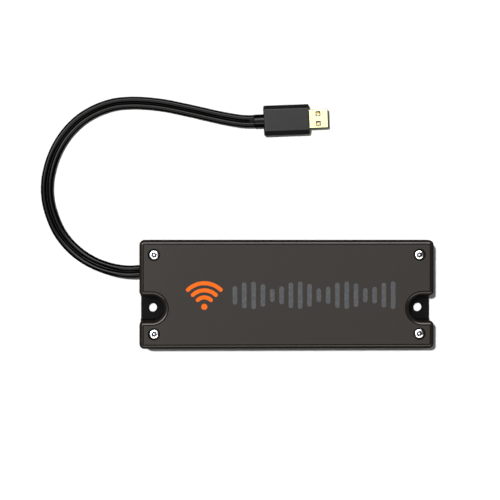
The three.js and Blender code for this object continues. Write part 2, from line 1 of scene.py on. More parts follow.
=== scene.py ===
"""The looks of a USB radio adapter: a flat two-part plastic box with a twin lead and a USB-A plug.

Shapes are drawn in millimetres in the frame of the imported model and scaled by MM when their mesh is
made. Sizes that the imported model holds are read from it; the finer ones are named below.
"""
import math
import random

import bpy
from mathutils import Matrix, Vector


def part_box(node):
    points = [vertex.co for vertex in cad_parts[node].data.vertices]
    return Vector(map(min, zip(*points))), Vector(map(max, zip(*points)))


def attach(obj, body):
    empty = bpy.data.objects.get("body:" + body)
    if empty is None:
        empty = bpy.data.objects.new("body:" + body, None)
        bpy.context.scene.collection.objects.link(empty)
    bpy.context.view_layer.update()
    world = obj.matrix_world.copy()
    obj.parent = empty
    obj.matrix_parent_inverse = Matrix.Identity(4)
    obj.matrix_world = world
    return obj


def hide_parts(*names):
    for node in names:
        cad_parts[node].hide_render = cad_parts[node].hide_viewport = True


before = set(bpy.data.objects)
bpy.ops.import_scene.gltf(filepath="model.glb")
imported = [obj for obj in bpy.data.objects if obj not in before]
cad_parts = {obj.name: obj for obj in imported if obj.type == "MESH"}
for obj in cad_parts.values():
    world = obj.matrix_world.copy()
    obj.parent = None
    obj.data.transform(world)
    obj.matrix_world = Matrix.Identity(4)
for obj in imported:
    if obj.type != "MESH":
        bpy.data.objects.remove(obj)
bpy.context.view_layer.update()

MM = 0.001


def node_box(node):
    """A node's low and high corners, in millimetres."""
    low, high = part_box(node)
    return low / MM, high / MM


def node_middle(node):
    low, high = node_box(node)
    return (low + high) / 2


# ---- Sizes ----

HALF_LENGTH, HALF_WIDTH, PARTING = node_box("bottom_case")[1]
HEIGHT = node_box("top_cover")[1].z
SEAM = 0.1  # the hairline between the two shells
CORNER = 3.2
MOUTH_CORNER = 2.8
WALL = 2.4
FLOOR = 2.2
ROOF = 2.4
BASE_DRAFT = 0.4
COVER_DRAFT = 0.2
COVER_EDGE = 2.4
BASE_EDGE = 1.0
LIP_INSET = 1.3
LIP_DEPTH = 1.4
GAP = 0.3
NOTCH_Y = -8.7
NOTCH_ARC_X = 84.2
NOTCH_RADIUS = 7.7
NOTCH_TAPER = 0.4
LUG_TOP = 3.0
LUG_HOLE_RADIUS = 2.75
COUNTERBORE_RADIUS = 3.7
COUNTERBORE_DEPTH = 3.2
COUNTERBORE_FILLET = 0.9
COUNTERBORE_CHAMFER = 0.15
POST_RADIUS = 4.6
COVER_SCREW_HOLE = 1.75  # radius
BOSS_RADIUS = 4.2
INSERT_HOLE = 2.35  # radius
INSERT_RADIUS = 2.2
KNURL_DEPTH = 0.16
STANDOFF_RADIUS = 3.2
PILOT_HOLE = 1.25  # radius, for the board's and the clamp's screws
RIB = 0.8  # half the thickness of a rib
PAST = 1  # how far a cutter runs past the face that it opens
GROOVE_WIDTH = 0.8
GROOVE_DEPTH = 0.7
COVER_SCREWS = [f"cover_screw_{n}" for n in range(1, 5)]
INSERTS = [f"threaded_insert_{n}" for n in range(1, 5)]
BOARD_SCREWS = [f"board_screw_{n}" for n in range(1, 5)]
CLAMP_SCREWS = ["clamp_screw_1", "clamp_screw_2"]
RADIO_BOARDS = ["long_range_radio_board", "mesh_radio_board"]

M3 = {
    "head": 2.75, "head_height": 2.2, "socket": 1.8, "socket_depth": 1.2,
    "shank": 1.45, "length": 13, "pitch": 0.5,
}
M25 = {
    "head": 2.25, "head_height": 1.7, "socket": 1.35, "socket_depth": 0.9,
    "shank": 1.1, "length": 6.5, "pitch": 0.45,
}

STRAND = 3.8  # diameter of each strand of the twin lead
LEAD_WIDTH = 7.7
LEAD_EXIT = Vector((-HALF_LENGTH, 14.3, PARTING))
LEAD_ROUTE = [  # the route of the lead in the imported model, from the clamp to the strain relief
    (-69, 14.3, 9.5), (-76, 14.3, 9.5), (-84, 14.3, 9.5), (-92, 14.3, 9.5), (-99, 14, 9.2),
    (-107, 14.9, 8), (-115, 17, 6), (-123, 20.3, 3.9), (-130.5, 25, 2.5), (-137.5, 31.4, 2),
    (-143.4, 39.5, 2), (-147.6, 49, 2), (-150.2, 59, 2), (-150.6, 69.5, 2), (-148.6, 80.5, 2),
    (-144.5, 91.2, 2), (-138, 101.4, 2), (-129.2, 110, 2), (-119, 116, 2), (-108, 119.6, 2),
    (-97, 120.6, 2), (-86.8, 120.2, 2), (-76.7, 119, 2), (-66.5, 117, 2.1), (-56.4, 114.8, 2.3),
    (-46.3, 112.5, 2.7), (-36.1, 110.4, 3.3), (-27, 109.1, 3.8), (-20.5, 109, 4),
]
PLUG_START = Vector((-20.2, 109, 4))
PLUG_TURN = math.radians(2.3)
RELIEF_LENGTH = 6.4
RELIEF_WIDTH = 8.2
OVERMOLD_LENGTH = 28.7
OVERMOLD_WIDTH = 18.9
OVERMOLD_HEIGHT = 8.0
OVERMOLD_FLAT = 13.5  # width of the flat face between the two bevels
OVERMOLD_SIDE = 3.0  # height of the upright side under the bevel
OVERMOLD_EDGE = 0.7
OVERMOLD_CORNER = 0.6
SHELL_LENGTH = 12.0
SHELL_WIDTH = 12.0
SHELL_HEIGHT = 4.5
SHELL_CORNER = 0.8
SHELL_WALL = 0.3
SHELL_BURIED = 5.8  # how far the shell reaches back into the overmold
MOUTH_EDGE = 0.4  # the stretch at the mouth that shows the metal's cut edge, painted near black as shade
WINDOW_SIZE = 2.4
WINDOW_CORNER = 0.7
WINDOW_OFFSET = 3.1
WINDOW_FROM_MOUTH = 6.4
WINDOW_PROFILE = [(1.2, 0), (0.22, 0), (0.12, 0.12), (-0.02, 0.42), (-1, 0.42)]  # (depth, flare)
PLUG_FRONT = RELIEF_LENGTH + OVERMOLD_LENGTH
PLUG_MOUTH = PLUG_FRONT + SHELL_LENGTH


# ---- Plan outlines and solids ----


def arc(cx, cy, radius, start, end, steps):
    """Points on an arc, from the angle start to the angle end in degrees, both included."""
    angles = [math.radians(start + (end - start) * i / steps) for i in range(steps + 1)]
    return [(cx + radius * math.cos(a), cy + radius * math.sin(a)) for a in angles]


def rounded_rectangle(x0, x1, y0, y1, radius, steps=6):
    return [
        *arc(x1 - radius, y0 + radius, radius, -90, 0, steps),
        *arc(x1 - radius, y1 - radius, radius, 0, 90, steps),
        *arc(x0 + radius, y1 - radius, radius, 90, 180, steps),
        *arc(x0 + radius, y0 + radius, radius, 180, 270, steps),
    ]


def around(x, y, half_x, half_y):
    """The limits x0, x1, y0, y1 of a rectangle about a point."""
    return x - half_x, x + half_x, y - half_y, y + half_y


def case_outline(inset, notch_inset=None):
    """The box's plan with its two recesses, drawn inset inside its full size."""
    notch = NOTCH_RADIUS + (inset if notch_inset is None else notch_inset)
    corner = CORNER - inset
    mouth = max(MOUTH_CORNER - inset, 0.05)
    x, y = HALF_LENGTH - CORNER, HALF_WIDTH - CORNER
    mouth_x = HALF_LENGTH - inset - mouth
    offset = notch + mouth
    fine, arc_steps = 8, 40
    right = [
        *arc(x, -y, corner, -90, 0, fine),
        *arc(mouth_x, NOTCH_Y - offset, mouth, 0, 90, fine),
        *arc(NOTCH_ARC_X, NOTCH_Y, notch, 270, 90, arc_steps),
        *arc(mouth_x, NOTCH_Y + offset, mouth, -90, 0, fine),
        *arc(x, y, corner, 0, 90, fine),
    ]
    left = [(-px, py) for px, py in reversed(right)]
    return right + left


def circle(x, y, radius, sides=48):
    return arc(x, y, radius, 0, 360 - 360 / sides, sides - 1)


def quarter_round(radius, steps):
    """The quarter circle that rounds a corner, as (along, across) from (0, r) to (r, 0)."""
    angles = [math.pi / 2 * i / steps for i in range(steps + 1)]
    return [(radius * (1 - math.cos(a)), radius * (1 - math.sin(a))) for a in angles]


def bands(rings, count, start=0):
    """The faces between rings of count vertices each, numbered one after another from start."""
    faces = []
    for k in range(rings - 1):
        low, high = start + k * count, start + (k + 1) * count
        for i in range(count):
            j = (i + 1) % count
            faces.append((low + i, low + j, high + j, high + i))
    return faces


def capped(rings, count):
    """The faces of a closed tube of rings."""
    top = (rings - 1) * count
    return [
        tuple(reversed(range(count))), *bands(rings, count), tuple(range(top, top + count))
    ]


def stack(levels):
    """A closed solid (vertices, faces) through outlines of one point count: [(z, points), ...]."""
    verts = [(x, y, z) for z, points in levels for x, y in points]
    return verts, capped(len(levels), len(levels[0][1]))


def prism(points, z0, z1):
    return stack([(z0, points), (z1, points)])


def soft_block(x0, x1, y0, y1, z0, z1, plan, edge, steps=4):
    """A block with upright corners rounded to plan and a top edge rounded to edge."""
    def outline(inset):
        return rounded_rectangle(
            x0 + inset, x1 - inset, y0 + inset, y1 - inset, max(plan - inset, 0.02), steps
        )
    levels = [(z0, outline(edge * 0.3)), (z0 + edge * 0.3, outline(0))]
    levels += [(z1 - across, outline(along)) for along, across in quarter_round(edge, steps)]
    return stack(levels)


def lathe(profile, sides=48):
    """A closed solid turned about Z from (radius, z) points that start and end on the axis."""
    inner = profile[1:-1]
    verts = [(0, 0, profile[0][1])]
    for radius, z in inner:
        verts += [(x, y, z) for x, y in circle(0, 0, radius, sides)]
    verts.append((0, 0, profile[-1][1]))
    last = len(verts) - 1
    top = last - sides
    faces = bands(len(inner), sides, 1)
    for i in range(sides):
        j = (i + 1) % sides
        faces += [(0, 1 + j, 1 + i), (top + i, top + j, last)]
    return verts, faces


def moved(solid, matrix):
    verts, faces = solid
    return [tuple(matrix @ Vector(v)) for v in verts], faces


def joined(*solids):
    verts, faces = [], []
    for solid_verts, solid_faces in solids:
        start = len(verts)
        verts += solid_verts
        faces += [tuple(start + i for i in face) for face in solid_faces]
    return verts, faces


ALONG_X = Matrix(((0, 0, 1, 0), (1, 0, 0, 0), (0, 1, 0, 0), (0, 0, 0, 1)))
PLUG_PLACE = Matrix.Translation(PLUG_START) @ Matrix.Rotation(PLUG_TURN, 4, "Z")


def smooth_path(points, spacing):
    """Evenly spaced points on a centripetal Catmull-Rom curve through the given ones."""
    knots = [Vector(p) for p in points]
    knots = [2 * knots[0] - knots[1], *knots, 2 * knots[-1] - knots[-2]]
    dense = []
    for p0, p1, p2, p3 in zip(knots, knots[1:], knots[2:], knots[3:]):
        t0, t1, t2 = (math.sqrt((b - a).length) for a, b in ((p0, p1), (p1, p2), (p2, p3)))
        m1 = ((p1 - p0) / t0 - (p2 - p0) / (t0 + t1) + (p2 - p1) / t1) * t1
        m2 = ((p2 - p1) / t1 - (p3 - p1) / (t1 + t2) + (p3 - p2) / t2) * t1
        for i in range(24):
            t = i / 24
            dense.append(
                p1 * (2 * t**3 - 3 * t**2 + 1) + m1 * (t**3 - 2 * t**2 + t)
                + p2 * (3 * t**2 - 2 * t**3) + m2 * (t**3 - t**2)
            )
    dense.append(knots[-2])
    total = sum((b - a).length for a, b in zip(dense, dense[1:]))
    steps = max(2, round(total / spacing))
    path, walked, wanted = [dense[0]], 0.0, total / steps
    for a, b in zip(dense, dense[1:]):
        length = (b - a).length
        while walked + length >= wanted - 1e-9 and len(path) < steps:
            path.append(a.lerp(b, (wanted - walked) / length))
            wanted += total / steps
        walked += length
    path.append(dense[-1])
    return path


def sweep(section, path, level=True):
    """A closed tube of the section (sideways, upwards) along the path."""
    verts = []
    side = None
    for i, point in enumerate(path):
        tangent = (path[min(i + 1, len(path) - 1)] - path[max(i - 1, 0)]).normalized()
        if level or side is None:
            reference = Vector((0, 0, 1)) if abs(tangent.z) < 0.9 else Vector((0, 1, 0))
            side = reference.cross(tangent).normalized()
        side = (side - tangent * side.dot(tangent)).normalized()
        up = tangent.cross(side)
        verts += [tuple(point + side * a + up * b) for a, b in section]
    return verts, capped(len(path), len(section))


# ---- Turning solids into pieces ----

SHARP = math.radians(34)


def linked(name, data):
    """A new object of the scene that holds the mesh, light or camera."""
    obj = bpy.data.objects.new(name, data)
    bpy.context.scene.collection.objects.link(obj)
    return obj


def make_object(name, solid):
    verts, faces = solid
    mesh = bpy.data.meshes.new(name)
    mesh.from_pydata([tuple(c * MM for c in v) for v in verts], [], faces)
    mesh.validate()
    return linked(name, mesh)


def carve(name, solid, added=(), removed=()):
    """An object of the solid with others joined to it and others cut away, in that order."""
    obj = make_object(name, solid)
    tools = []
    for operation, solids in (("UNION", added), ("DIFFERENCE", removed)):
        for other in solids:
            tool = make_object("tool", other)
            modifier = obj.modifiers.new(operation, "BOOLEAN")
            modifier.operation = operation
            modifier.solver = "EXACT"
            modifier.object = tool
            tools.append(tool)
    bpy.context.view_layer.update()
    depsgraph = bpy.context.evaluated_depsgraph_get()
    carved = bpy.data.meshes.new_from_object(obj.evaluated_get(depsgraph))
    plain_mesh = obj.data
    obj.modifiers.clear()
    obj.data = carved
    carved.name = name
    bpy.data.meshes.remove(plain_mesh)
    for tool in tools:
        bpy.data.meshes.remove(tool.data)
    return obj


def solid_of(obj):
    """The object's vertices and faces in millimetres. The object is removed."""
    mesh = obj.data
    solid = [tuple(v.co / MM) for v in mesh.vertices], [tuple(p.vertices) for p in mesh.polygons]
    bpy.data.meshes.remove(mesh)
    return solid


def finish_piece(obj, material, replaced=(), body="case"):
    """Gives an object its shading, material and body, and hides the nodes it stands for."""
    mesh = obj.data
    mesh.shade_smooth()
    mesh.set_sharp_from_angle(angle=SHARP)
    modifier = obj.modifiers.new("face weighted shading", "WEIGHTED_NORMAL")
    modifier.keep_sharp = True
    mesh.materials.clear()
    mesh.materials.append(material)
    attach(obj, body)
    if replaced:
        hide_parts(*replaced)
    return obj


def piece(name, solid, material, replaced=(), body="case"):
    return finish_piece(make_object(name, solid), material, replaced, body)


# ---- Materials ----


class Surface:
    """A material with a Principled shader, and short ways to add procedural detail to it."""

    def __init__(self, name, color, roughness, metallic=0.0, specular=0.5):
        self.material = bpy.data.materials.new(name)
        self.material.use_nodes = True
        self.nodes = self.material.node_tree.nodes
        self.links = self.material.node_tree.links
        self.shader = self.nodes["Principled BSDF"]
        self.shader.inputs["Base Color"].default_value = (*color, 1)
        self.shader.inputs["Roughness"].default_value = roughness
        self.shader.inputs["Metallic"].default_value = metallic
        self.shader.inputs["Specular IOR Level"].default_value = specular
        self.place = self.nodes.new("ShaderNodeTexCoord").outputs["Object"]

    def add(self, kind, **values):
        """A new node with its inputs set. An underscore stands for a space in an input's name."""
        node = self.nodes.new("ShaderNode" + kind)
        for name, value in values.items():
            node.inputs[name.replace("_", " ")].default_value = value
        return node

    def noise(self, scale, detail, stretch=(1, 1, 1)):
        mapping = self.add("Mapping", Scale=stretch)
        self.links.new(self.place, mapping.inputs["Vector"])
        texture = self.add("TexNoise", Scale=scale, Detail=detail)
        self.links.new(mapping.outputs["Vector"], texture.inputs["Vector"])
        return texture.outputs["Fac"]

    def spread(self, factor, low, high, start=0.3, end=0.7):
        """The factor's stretch from start to end, spread over low to high."""
        node = self.add("MapRange", From_Min=start, From_Max=end, To_Min=low, To_Max=high)
        self.links.new(factor, node.inputs["Value"])
        return node.outputs["Result"]

    def color(self, factor, stops):
        """Colours the surface by a ramp of (position, colour) stops."""
        node = self.add("ValToRGB")
        for element, (position, color) in zip(node.color_ramp.elements, stops):
            element.position = position
            element.color = (*color, 1)
        self.links.new(factor, node.inputs["Fac"])
        self.links.new(node.outputs["Color"], self.shader.inputs["Base Color"])

    def mottle(self, factor, color, spread):
        """Colours the surface from a little darker to a little lighter than the colour."""
        dark, light = [c * (1 - spread) for c in color], [c * (1 + spread) for c in color]
        self.color(factor, [(0.3, dark), (0.7, light)])

    def gloss(self, factor, low, high):
        """Varies the roughness between two values."""
        self.links.new(self.spread(factor, low, high), self.shader.inputs["Roughness"])

    def bump(self, factor, distance):
        """Gives the surface relief of a real depth, in metres."""
        node = self.add("Bump", Distance=distance)
        self.links.new(factor, node.inputs["Height"])
        self.links.new(node.outputs["Normal"], self.shader.inputs["Normal"])


def moulded(name, color, roughness, specular, grain=1.0):
    """Injection-moulded plastic with a fine spark-eroded grain."""
    surface = Surface(name, color, roughness, specular=specular)
    surface.mottle(surface.noise(400, 5), color, 0.03)
    surface.gloss(surface.noise(2600, 3), roughness - 0.02, roughness + 0.02)
    surface.bump(surface.noise(4200, 2), 0.000005 * grain)
    return surface.material


def jacket(name, color, roughness):
    """Extruded lead jacket: smooth, with a slightly uneven shade and gloss."""
    surface = Surface(name, color, roughness, specular=0.15)
    surface.mottle(surface.noise(90, 3), color, 0.25)
    surface.gloss(surface.noise(220, 4), roughness - 0.03, roughness + 0.05)
    surface.bump(surface.noise(1400, 2), 0.000002)
    return surface.material


def metal(name, color, roughness, streaks=1.0, stretch=(1, 1, 1)):
    """Plated or drawn metal with faint streaks and a little uneven polish."""
    surface = Surface(name, color, roughness, metallic=1.0)
    surface.mottle(surface.noise(500, 3, stretch), color, 0.03)
    surface.gloss(surface.noise(1800, 3, stretch), roughness * 0.9, roughness * 1.12)
    surface.bump(surface.noise(3000, 2, stretch), 0.000002 * streaks)
    return surface.material


def solder_mask(name, color, copper):
    """Printed board: solder mask over copper tracks, which show as lighter raised lines."""
    surface = Surface(name, color, 0.35)
    tracks = []
    for width, pitch in ((1.3, 0.13), (0.17, 1.1)):
        brick = surface.add(
            "TexBrick", Scale=100, Brick_Width=width, Row_Height=pitch, Mortar_Size=0.016
        )
        surface.links.new(surface.place, brick.inputs["Vector"])
        tracks.append(brick.outputs["Fac"])
    zone = surface.spread(surface.noise(70, 1), 0.0, 1.0, 0.49, 0.51)
    mix = surface.add("Mix")
    surface.links.new(zone, mix.inputs["Factor"])
    surface.links.new(tracks[0], mix.inputs["A"])
    surface.links.new(tracks[1], mix.inputs["B"])
    surface.color(mix.outputs["Result"], [(0.2, color), (0.8, copper)])
    surface.gloss(surface.noise(200, 4), 0.3, 0.42)
    surface.bump(mix.outputs["Result"], 0.00002)
    return surface.material


def grained(name, color, roughness, scale, depth, specular=0.5, variation=0.12):
    """Matt moulded or pressed material with a visible grain."""
    surface = Surface(name, color, roughness, specular=specular)
    surface.mottle(surface.noise(scale, 4), color, variation)
    surface.gloss(surface.noise(scale / 3, 3), roughness - 0.08, roughness + 0.1)
    surface.bump(surface.noise(scale * 1.5, 3), depth)
    return surface.material


COVER_PLASTIC = moulded("cover plastic", (0.0152, 0.0112, 0.0080), 0.2, 0.36)
BASE_PLASTIC = moulded("base plastic", (0.0025, 0.0025, 0.0025), 0.5, 0.06)
JACKET = jacket("lead jacket", (0.0008, 0.0008, 0.0008), 0.1)
OVERMOLD = moulded("plug overmold", (0.0105, 0.0105, 0.0105), 0.2, 0.34, grain=1.2)
SCREW_STEEL = metal("bright steel", (0.86, 0.86, 0.92), 0.2)
ZINC = metal("zinc plate", (0.62, 0.64, 0.67), 0.3)
# Near-black metal for the shell's window rims and mouth edge: painted shade standing for the dark
# rings there, not the cut metal's own colour.
CUT_EDGE_PAINTED_SHADE = metal("stamped edge in painted shade", (0.02, 0.018, 0.012), 0.5)
# Near-black metal for the screws' socket walls: painted shade in the recess, not the steel's own
# colour.
SOCKET_WALL_PAINTED_SHADE = metal("socket wall in painted shade", (0.03, 0.03, 0.032), 0.5)
BRASS = metal("brass", (0.66, 0.44, 0.16), 0.25)
PLATING = metal("pale gold plate", (0.95, 0.90, 0.50), 0.18, 0.3, (1, 4, 4))
GOLD = metal("contact gold", (0.80, 0.60, 0.24), 0.2)
NYLON = grained("natural nylon", (0.78, 0.75, 0.64), 0.5, 400, 0.00001)
RESIN = grained("chip resin", (0.012, 0.012, 0.013), 0.6, 1500, 0.00001)
FERRITE = grained("pressed ferrite", (0.035, 0.035, 0.038), 0.7, 900, 0.00003)
CAN = metal("tinned can", (0.42, 0.43, 0.45), 0.33)
BRONZE = metal("phosphor bronze", (0.62, 0.33, 0.13), 0.25)
BOARD_GREEN = solder_mask("green solder mask", (0.004, 0.07, 0.025), (0.02, 0.19, 0.06))
BOARD_BLUE = solder_mask("blue solder mask", (0.004, 0.025, 0.12), (0.015, 0.08, 0.28))
ORANGE_INK = grained("orange ink", (0.78, 0.134, 0.006), 0.45, 1200, 0.000002, 0.08, 0.03)
GREY_INK = grained("grey ink", (0.056, 0.059, 0.064), 0.24, 1200, 0.000002, 0.36, 0.03)


# ---- Camera, floor and light ----

CAMERA_PLACE = (-0.0531, 0.0342, 0.893)
CAMERA_TARGET = (-0.02276, 0.02757, 0.010)
LENS = 101.2
FLOOR_HALF = 4.0
AMBIENT = 0.16  # radiance of the surround as diffuse light
SURROUND = 0.07  # and as a reflection
KEY_FROM = (-0.244, 0.16, 1.0)
KEY_STRENGTH = 3.6
CARDS = [  # name, place, size, radiance, colour
    ("overhead", (0.02, 0.1, 1.5), (1.05, 0.9), 1.15, (1, 1, 1)),
    ("far side", (-0.2, 0.74, 1.38), (2.0, 0.75), 8.0, (1, 1, 1)),
    ("near side", (0.1, -0.8, 1.3), (2.0, 0.65), 3.9, (1, 1, 0.9)),
    ("left side", (-0.66, 0.1, 1.45), (0.8, 0.9), 2.2, (1, 1, 1)),
]


def aim(obj, target, up):
    """Turns a camera or a light to look at the target, with the given direction upwards."""
    back = (obj.location - Vector(target)).normalized()
    right = Vector(up).cross(back).normalized()
    axes = Matrix((right, back.cross(right), back)).transposed()
    obj.rotation_euler = axes.to_euler()


def add_camera():
    camera = linked("camera", bpy.data.cameras.new("camera"))
    camera.location = CAMERA_PLACE
    aim(camera, CAMERA_TARGET, (0, 1, 0))
    camera.data.sensor_width = 36
    camera.data.lens = LENS
    camera.data.clip_start = 0.01
    bpy.context.scene.camera = camera


def add_stage():
    """A plain pale floor, left out of reflections so that the dark plastics stay dark."""
    mesh = bpy.data.meshes.new("floor")
    signs = ((-1, -1), (1, -1), (1, 1), (-1, 1))
    corners = [(x * FLOOR_HALF, y * FLOOR_HALF, 0) for x, y in signs]
    mesh.from_pydata(corners, [], [(0, 1, 2, 3)])
    mesh.materials.append(Surface("floor", (0.86, 0.86, 0.86), 0.8, specular=0.1).material)
    floor = linked("floor", mesh)
    floor.visible_glossy = False
    floor.visible_diffuse = False


def add_light(name, kind, place, target=(0, 0, 0)):
    light = linked(name, bpy.data.lights.new(name, kind))
    light.location = place
    at_one_side = abs(place[1]) > 0.6
    aim(light, target, up=(0, 0, 1) if at_one_side else (0, 1, 0))
    return light


def add_card(name, place, size, radiance, color):
    """A large glowing card that shows only as a reflection in glossy surfaces."""
    card = add_light(name, "AREA", place, (0, 0.03, 0.01))
    card.data.shape = "RECTANGLE"
    card.data.size, card.data.size_y = size
    card.data.energy = radiance * math.pi * size[0] * size[1]
    card.data.color = color
    card.visible_camera = False
    card.visible_diffuse = False
    card.visible_shadow = False


def add_world():
    """A white surround for the camera, and a dim one for what the surfaces gather and reflect."""
    world = bpy.data.worlds.new("studio")
    world.use_nodes = True
    nodes, links = world.node_tree.nodes, world.node_tree.links
    background = nodes["Background"]
    background.inputs["Color"].default_value = (1, 1, 1, 1)
    path = nodes.new("ShaderNodeLightPath")
    target = background.inputs["Strength"]
    for ray, strength in (("Is Glossy Ray", SURROUND), ("Is Camera Ray", 1.0)):
        change = nodes.new("ShaderNodeMath")
        change.operation = "MULTIPLY_ADD"
        change.inputs[1].default_value = strength - AMBIENT
        change.inputs[2].default_value = AMBIENT
        links.new(path.outputs[ray], change.inputs[0])
        links.new(change.outputs["Value"], target)
        target = change.inputs[2]
    bpy.context.scene.world = world


def add_lights():
    key = add_light("key", "SUN", KEY_FROM)
    key.data.energy = KEY_STRENGTH
    key.data.angle = math.radians(3)
    key.visible_glossy = False
    for card in CARDS:
        add_card(*card)
    bpy.context.scene.view_settings.view_transform = "Standard"


# ---- The lead ----


def twin_section():
    """Two round strands, bonded where they meet."""
    radius = STRAND / 2
    offset = LEAD_WIDTH / 2 - radius
    half_web = 0.45
    web = math.degrees(math.asin(half_web / radius))
    return [
        *arc(offset, 0, radius, web - 180, 180 - web, 22),
        *arc(-offset, 0, radius, web, 360 - web, 22),
    ]


def add_lead():
    inside_relief = Vector(LEAD_ROUTE[-1]) + Vector((2.0, 0.08, 0))
    path = smooth_path([*LEAD_ROUTE, inside_relief], 1.5)
    lead = piece("lead", sweep(twin_section(), path), JACKET, ["twin_cord"])
    return lead, [tuple(p * MM) for p in path]


def ellipse(half_width, half_height):
    return [(half_width * x, half_height * y) for x, y in circle(0, 0, 1)]


def add_strain_relief():
    """An oval sleeve, and the web that bridges the two strands in front of it."""
    low, high = node_box("strain_relief")
    height = high.z - low.z
    rings = [(0.0, 0.90), (0.25, 0.975), (0.6, 1.0), (RELIEF_LENGTH, 1.0)]
    sleeve = stack([(x, ellipse(RELIEF_WIDTH / 2 * s, height / 2 * s)) for x, s in rings])
    web = soft_block(-1.25, 1.25, -1.6, 1.6, -2.8, 0.4, 0.3, 0.3)
    both = joined(moved(sleeve, ALONG_X), moved(web, ALONG_X))
    solid = moved(both, PLUG_PLACE)
    return piece("strain_relief_sleeve", solid, JACKET, ["strain_relief"])


def rounded_polygon(corners, radius):
    """The convex polygon with each corner rounded to the radius."""
    points = []
    count = len(corners)
    steps = 4
    for i in range(count):
        before, here, after = (Vector(corners[(i + k) % count]) for k in (-1, 0, 1))
        back, ahead = (before - here).normalized(), (after - here).normalized()
        half = math.acos(max(-1, min(1, back.dot(ahead)))) / 2
        reach = radius / math.tan(half)
        centre = here + (back + ahead).normalized() * (radius / math.sin(half))
        first = here + back * reach - centre
        last = here + ahead * reach - centre
        turn = first.angle_signed(last)
        for k in range(steps + 1):
            spun = Matrix.Rotation(-turn * k / steps, 2) @ first
            points.append(tuple(centre + spun))
    return points


def overmold_section(inset):
    """A rectangle with bevels: upright sides, and a narrower flat face above and below."""
    x, y = OVERMOLD_WIDTH / 2 - inset, OVERMOLD_HEIGHT / 2 - inset
    flat, side = OVERMOLD_FLAT / 2 - inset * 0.4, OVERMOLD_SIDE / 2
    upper = [(x, side), (flat, y), (-flat, y), (-x, side)]
    lower = [(px, -py) for px, py in reversed(upper)]
    return rounded_polygon([lower[-1], *upper, *lower[:-1]], OVERMOLD_CORNER)


def add_overmold():
    """The plug's grip, with rounded ends and a pocket for the shell."""
    edge = quarter_round(OVERMOLD_EDGE, 4)
    levels = [(RELIEF_LENGTH + along, across) for along, across in edge]
    levels += [(PLUG_FRONT - along, across) for along, across in reversed(edge)]
    body = moved(stack([(x, overmold_section(inset)) for x, inset in levels]), ALONG_X)
    x, y = SHELL_WIDTH / 2 + 0.2, SHELL_HEIGHT / 2 + 0.2
    opening = rounded_rectangle(-x, x, -y, y, 0.7)
    pocket = moved(prism(opening, PLUG_FRONT - SHELL_BURIED - 0.2, PLUG_FRONT + PAST), ALONG_X)
    obj = carve("plug_body", moved(body, PLUG_PLACE), removed=[moved(pocket, PLUG_PLACE)])
    return finish_piece(obj, OVERMOLD, ["plug_overmold"])


def shell_section(inset):
    x, y = SHELL_WIDTH / 2 - inset, SHELL_HEIGHT / 2 - inset
    return rounded_rectangle(-x, x, -y, y, max(SHELL_CORNER - inset, 0.1))


def shell_window(side, face):
    """A cutter for one latch window, with a rolled rim on the outside."""
    x, y = PLUG_MOUTH - WINDOW_FROM_MOUTH, side * WINDOW_OFFSET
    levels = []
    for depth, flare in WINDOW_PROFILE:
        half = WINDOW_SIZE / 2 + flare
        outline = rounded_rectangle(*around(x, y, half, half), WINDOW_CORNER)
        levels.append((SHELL_HEIGHT / 2 - depth, outline))
    cutter = stack(levels)
    return cutter if face > 0 else moved(cutter, Matrix.Rotation(math.pi, 4, (1, 0, 0)))


def add_usb_shell():
    """The plug's folded sleeve: open at both ends, with two windows on each face and a seam."""
    start = PLUG_FRONT - SHELL_BURIED
    ends = [(start, 0), (PLUG_MOUTH - 0.45, 0), (PLUG_MOUTH - 0.15, 0.1), (PLUG_MOUTH, 0.25)]
    sleeve = moved(stack([(x, shell_section(inset)) for x, inset in ends]), ALONG_X)
    hollow = moved(prism(shell_section(SHELL_WALL), start - PAST, PLUG_MOUTH + PAST), ALONG_X)
    seam = soft_block(start - PAST, PLUG_MOUTH + PAST, -0.05, 0.05, -3, -2.1, 0.01, 0.01, 1)
    windows = [shell_window(side, face) for side in (-1, 1) for face in (-1, 1)]
    cuts = [moved(cut, PLUG_PLACE) for cut in (hollow, seam, *windows)]
    obj = carve("usb_plug_shell", moved(sleeve, PLUG_PLACE), removed=cuts)
    finish_piece(obj, PLATING, ["usb_shell"])
    # The window rims and the last stretch at the mouth get the near-black metal: painted shade.
    obj.data.materials.append(CUT_EDGE_PAINTED_SHADE)
    back = PLUG_PLACE.inverted()
    reach = WINDOW_SIZE / 2 + 0.4
    level = 0.97  # a face turned up or down by more than this is the flat of the shell
    for face in obj.data.polygons:
        place = back @ (face.center / MM)
        near_x = abs(place.x - PLUG_MOUTH + WINDOW_FROM_MOUTH) < reach
        near_y = abs(abs(place.y) - WINDOW_OFFSET) < reach
        rim = near_x and near_y and abs(face.normal.z) < level
        if rim or place.x > PLUG_MOUTH - MOUTH_EDGE:
            face.material_index = 1
    return obj


def add_usb_tongue():
    start = PLUG_FRONT - SHELL_BURIED + 0.1
    blade = soft_block(start, PLUG_MOUTH - 0.8, -5.55, 5.55, -1.85, -0.02, 0.3, 0.25)
    heel = soft_block(start, start + 3.5, -5.5, 5.5, -1.8, 1.8, 0.2, 0.2)
    solid = moved(joined(blade, heel), PLUG_PLACE)
    return piece("usb_insulator", solid, NYLON, ["usb_tongue"])


# ---- The case ----


def lead_slot():
    """A cutter for the lead's way out through the left wall, with a chamfer outside."""
    chamfer = 0.3

    def outline(margin):
        x, y = LEAD_WIDTH / 2 + GAP + margin, STRAND / 2 + GAP + margin
        return rounded_rectangle(-x, x, -y, y, y - 0.01, 10)

    outer = -HALF_LENGTH
    slot = stack([
        (outer - PAST, outline(chamfer)), (outer, outline(chamfer)),
        (outer + chamfer, outline(0)), (outer + WALL + PAST, outline(0)),
    ])
    return moved(slot, Matrix.Translation((0, LEAD_EXIT.y, LEAD_EXIT.z)) @ ALONG_X)


